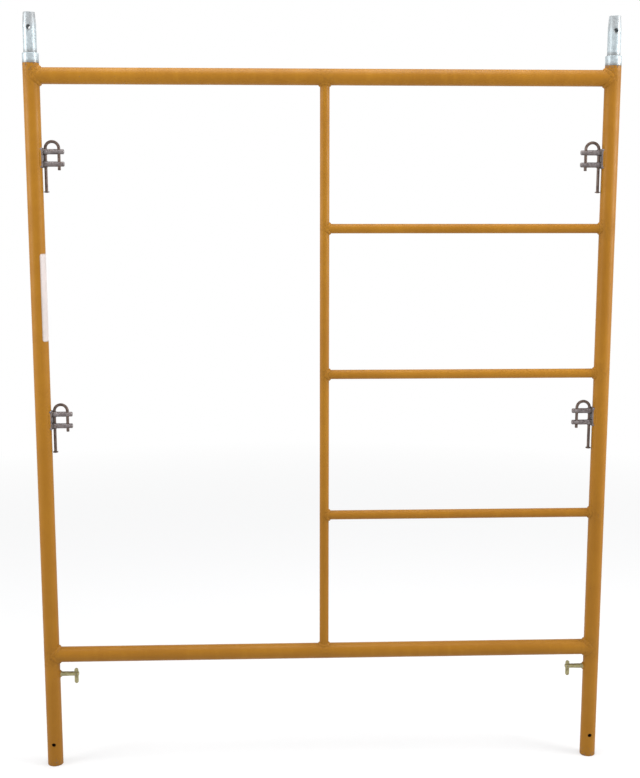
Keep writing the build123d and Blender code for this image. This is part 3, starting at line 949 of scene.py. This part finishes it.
def base_stud(side_name, side):
    """A stepped stud with a slotted tip, the toggle in its slot and the pin it turns on."""
    pin_low, pin_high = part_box(f"{side_name}_toggle_pin")
    pivot = (pin_low + pin_high) / 2
    z = pivot.z
    end = LEG_FACE - min(abs(corner.x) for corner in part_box(f"{side_name}_base_stud"))
    piece = stud(f"{side_name}_slotted_stud", side, z, BASE_STUD_RADII, (*BASE_STUD_STEPS, end))
    slot = [
        (SLOT_START + SLOT_EASE, -SLOT_HALF_WIDTH),
        (SLOT_START, SLOT_EASE - SLOT_HALF_WIDTH),
        (SLOT_START, SLOT_HALF_WIDTH - SLOT_EASE),
        (SLOT_START + SLOT_EASE, SLOT_HALF_WIDTH),
        (SLOT_END, SLOT_HALF_WIDTH),
        (SLOT_END, -SLOT_HALF_WIDTH),
    ]
    layers = [[stand_off(side, reach, y, z + up) for reach, y in slot] for up in (-0.02, 0.02)]
    slot_tool = loops("slot", layers, False)
    pin_hole = drill(pivot, (0, 1, 0), PIVOT_HOLE_RADIUS)
    cut(piece, slot_tool, pin_hole, sharp=38)
    spots = [(pivot, 0.003), (Vector(stand_off(side, SLOT_START + 0.001, 0, z)), 0.003)]
    show(piece, "frame", YELLOW_ZINC, [f"{side_name}_base_stud"], spots, reach=0.004)

    half = (pin_high.y - pin_low.y) / 2
    domed = [(0.0007, -half), (0.0014, 0.0001 - half), (PIVOT_RADIUS, 0.0006 - half), (PIVOT_RADIUS, 0)]
    profile = split(domed + [(radius, -along) for radius, along in reversed(domed[:-1])], 0.001)
    pin = turned(f"{side_name}_pivot_pin", profile, pivot, (0, 1, 0), 32, closed=False)
    show(pin, "frame", LOCK_ZINC, [f"{side_name}_toggle_pin"])

    node = f"{side_name}_toggle"
    body = f"{side_name}_base_toggle"
    toggle = drop_toggle(f"{side_name}_drop_toggle", node, pivot)
    show(toggle, body, YELLOW_ZINC, [node], [(pivot, 0.002)], reach=0.003)
    return ((side * LEG_X, 0, z), (-side, 0, 0), BASE_STUD_RADII[0], LEG_RADIUS)


joints = [base_stud(side_name, side) for side_name, side in SIDES.items()]
bead = beads("base_stud_bead", joints, width=0.0030, bulge=0.0005, ease=0.0005, pitch=0.0024)
show(bead, "frame", PAINT, ["base_stud_welds"])


# ---------------------------------------------------------------------------
# Coupling pins, collars and label
# ---------------------------------------------------------------------------
def coupling_pin(side_name, side):
    """A swaged tube with a cross-hole, and the collar it is held by."""
    body = f"{side_name}_stacking_pin"
    pin_node = f"{side_name}_coupling_pin"
    collar_node = f"{side_name}_coupling_collar"
    foot, head = [corner.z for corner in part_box(pin_node)]
    seat, rim = [corner.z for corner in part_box(collar_node)]
    profile = [
        (PIN_TIP_RADIUS, foot),
        (PIN_RADIUS, foot + PIN_TIP_LENGTH),
        (PIN_RADIUS, seat),
        (PIN_SEAT_RADIUS, seat + 0.0004),
        (PIN_SEAT_RADIUS, rim - 0.0004),
        (PIN_RADIUS, rim),
        (PIN_RADIUS, head - PIN_TIP_LENGTH),
        (PIN_TIP_RADIUS, head),
        (PIN_TIP_RADIUS - PIN_WALL, head),
        (PIN_RADIUS - PIN_WALL, head - PIN_TIP_LENGTH),
        (PIN_RADIUS - PIN_WALL, foot + PIN_TIP_LENGTH),
        (PIN_TIP_RADIUS - PIN_WALL, foot),
    ]
    profile = split(eased(profile, 0.0009, closed=True), 0.006, closed=True)
    name = f"{side_name}_swaged_pin"
    shape = ripple(name, DRAWN_RIPPLE, (9, 21, 40), (3, 4, 7))
    pin = turned(name, profile, (side * LEG_X, 0, 0), (0, 0, 1), shape=shape)
    hole_z = rim + LOCK_HOLE_HEIGHT
    cut(pin, drill((side * LEG_X, 0, hole_z), (0, 1, 0), LOCK_HOLE_RADIUS))
    spots = [(Vector((side * LEG_X, y * PIN_RADIUS, hole_z)), LOCK_HOLE_RADIUS) for y in (-1, 1)]
    spots.append((Vector((side * LEG_X, 0, rim)), PIN_RADIUS))
    tips = [(Vector((side * LEG_X, 0, z)), PIN_TIP_LENGTH) for z in (foot, head)]
    show(pin, body, PALE_ZINC, [pin_node], spots, tips, reach=0.003)

    name = f"{side_name}_collar"
    wide = size(collar_node).x / 2
    tall = rim - seat
    section = [
        (PIN_SEAT_RADIUS, 0),
        (wide, 0),
        (wide, tall - COLLAR_CHAMFER),
        (wide - COLLAR_CHAMFER, tall),
        (PIN_SEAT_RADIUS, tall),
    ]
    profile = split(eased(section, 0.0008, closed=True), 0.004, closed=True)
    shape = ripple(name, COLLAR_RIPPLE, (11, 30), (2, 5, 6))
    collar = turned(name, profile, (side * LEG_X, 0, seat), (0, 0, 1), shape=shape)
    spots = [(Vector((side * LEG_X, 0, seat)), wide)]
    show(collar, body, PALE_ZINC, [collar_node], spots, reach=0.002)


for side_name, side in SIDES.items():
    coupling_pin(side_name, side)


def label():
    """A blank vinyl sheet with round corners, wrapped on the front of the left leg's inner side."""
    low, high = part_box("blank_label")
    outer = LEG_RADIUS + LABEL_LIFT
    inner = LEG_RADIUS + LABEL_GLUE
    arc = LABEL_ARC * outer
    start = LABEL_START * outer
    tall = high.z - low.z
    rings = []
    for k in range(41):
        up = tall * (0.5 - 0.5 * math.cos(math.pi * k / 40))
        short = max(0.0, LABEL_CORNER - min(up, tall - up))
        inset = LABEL_CORNER - math.sqrt(LABEL_CORNER**2 - short**2)
        turns = [(start + inset + (arc - 2 * inset) * j / 32) / outer for j in range(33)]
        front = [(outer * math.cos(turn), outer * math.sin(turn)) for turn in turns]
        back = [(inner * math.cos(turn), inner * math.sin(turn)) for turn in reversed(turns)]
        rings.append([(-LEG_X + x, y, low.z + up) for x, y in front + back])
    sheet = loops("blank_label_sheet", rings, False, sharp=60)
    show(sheet, "frame", LABEL, ["blank_label"])
    soil_and_shade = sheet.data.attributes["soil_and_shade"]
    edge = []
    for v in sheet.data.vertices:
        turn = math.atan2(v.co.y, v.co.x + LEG_X) * outer
        gap = min(turn - start, start + arc - turn, v.co.z - low.z, high.z - v.co.z)
        edge.append(max(0.0, 1 - gap / LABEL_SOIL_REACH))
    soil_and_shade.data.foreach_set("value", edge)


label()

# ---------------------------------------------------------------------------
# Stage, light and camera
# ---------------------------------------------------------------------------
HEIGHT = cad_high.z - cad_low.z
ROOM_WHITE = (1.0, 1.0, 1.0, 1)
CEILING_GREY = (0.50, 0.51, 0.53, 1)
CEILING_FROM = 0.32
CEILING_TO = 0.85
FLOOR_COLOUR = (0.74, 0.74, 0.74)
FLOOR_HALF = 60
FLOOR_GAP = 0.0005
# The floor's fade into the white of the room: where it starts and ends, and its least share of white
FADE_START = 1.2
FADE_END = 4.5
FADE_LEAST = 0.45


def room():
    """A white room that turns grey overhead."""
    world = bpy.data.worlds.new("studio")
    bpy.context.scene.world = world
    world.use_nodes = True
    world.node_tree.nodes.clear()
    sky = world.node_tree.nodes
    link = world.node_tree.links.new
    position = sky.new("ShaderNodeTexCoord")
    parts = sky.new("ShaderNodeSeparateXYZ")
    lift = sky.new("ShaderNodeMapRange")
    tone = sky.new("ShaderNodeMix")
    glow = sky.new("ShaderNodeBackground")
    out = sky.new("ShaderNodeOutputWorld")
    lift.inputs["From Min"].default_value = CEILING_FROM
    lift.inputs["From Max"].default_value = CEILING_TO
    tone.data_type = "RGBA"
    tone.inputs[6].default_value = ROOM_WHITE
    tone.inputs[7].default_value = CEILING_GREY
    link(position.outputs["Generated"], parts.inputs[0])
    link(parts.outputs["Z"], lift.inputs["Value"])
    link(lift.outputs["Result"], tone.inputs[0])
    link(tone.outputs[2], glow.inputs["Color"])
    link(glow.outputs[0], out.inputs["Surface"])


room()


def floor():
    """A pale floor that fades into the white of the room."""
    g = Graph("pale_floor")
    flat = g.add("ShaderNodeVectorMath", {0: g.place, 1: (1, 1, 0)}, operation="MULTIPLY").outputs[0]
    away = g.add("ShaderNodeVectorMath", {0: flat}, operation="LENGTH").outputs["Value"]
    fade = g.fit(away, FADE_START, FADE_END, FADE_LEAST, 1.0)
    matt = g.add("ShaderNodeBsdfDiffuse", {"Color": FLOOR_COLOUR})
    light = g.add("ShaderNodeEmission", {"Color": (1, 1, 1), "Strength": 1.0})
    both = g.add("ShaderNodeMixShader", {0: fade, 1: matt.outputs[0], 2: light.outputs[0]})
    g.tree.links.new(both.outputs[0], g.add("ShaderNodeOutputMaterial").inputs["Surface"])
    mesh = bpy.data.meshes.new("floor")
    corners = [(x * FLOOR_HALF, y * FLOOR_HALF, 0) for x, y in ((-1, -1), (1, -1), (1, 1), (-1, 1))]
    mesh.from_pydata(corners, [], [(0, 1, 2, 3)])
    mesh.materials.append(g.material)
    obj = bpy.data.objects.new("floor", mesh)
    obj.location.z = cad_low.z - FLOOR_GAP
    bpy.context.scene.collection.objects.link(obj)


floor()


def soft_light(name, place, wide, power):
    """A square area light, turned to the middle of the frame. place is in heights of the frame."""
    lamp = bpy.data.lights.new(name, "AREA")
    lamp.shape = "SQUARE"
    lamp.size = wide
    lamp.energy = power
    obj = bpy.data.objects.new(name, lamp)
    obj.location = Vector(place) * HEIGHT
    obj.rotation_mode = "QUATERNION"
    obj.rotation_quaternion = (Vector((0, 0, HEIGHT / 2)) - obj.location).to_track_quat("-Z", "Y")
    obj.visible_camera = False
    bpy.context.scene.collection.objects.link(obj)


soft_light("overhead", (0, -0.0972, 1.9), wide=2.4, power=82)
soft_light("left_side", (-1.6, -0.45, 1.0), wide=1.6, power=60)
soft_light("right_side", (1.6, -0.45, 1.0), wide=1.6, power=88)

# The camera's place is in heights of the frame, its angles in degrees and its lens in millimetres
CAMERA_PLACE = Vector((-0.0739, -1.5929, 0.7797))
CAMERA_DOWN = 9.224
CAMERA_ROLL = -0.044
CAMERA_TURN = -2.44
CAMERA_LENS = 56.42

camera_data = bpy.data.cameras.new("camera")
camera = bpy.data.objects.new("camera", camera_data)
camera_data.sensor_width = 36.0
camera_data.lens = CAMERA_LENS
camera.location = CAMERA_PLACE * HEIGHT
camera.rotation_euler = [math.radians(angle) for angle in (90 - CAMERA_DOWN, CAMERA_ROLL, CAMERA_TURN)]
camera_data.clip_start = 0.05
camera_data.clip_end = 300
bpy.context.scene.collection.objects.link(camera)
bpy.context.scene.camera = camera

bpy.context.scene.view_settings.view_transform = "Standard"
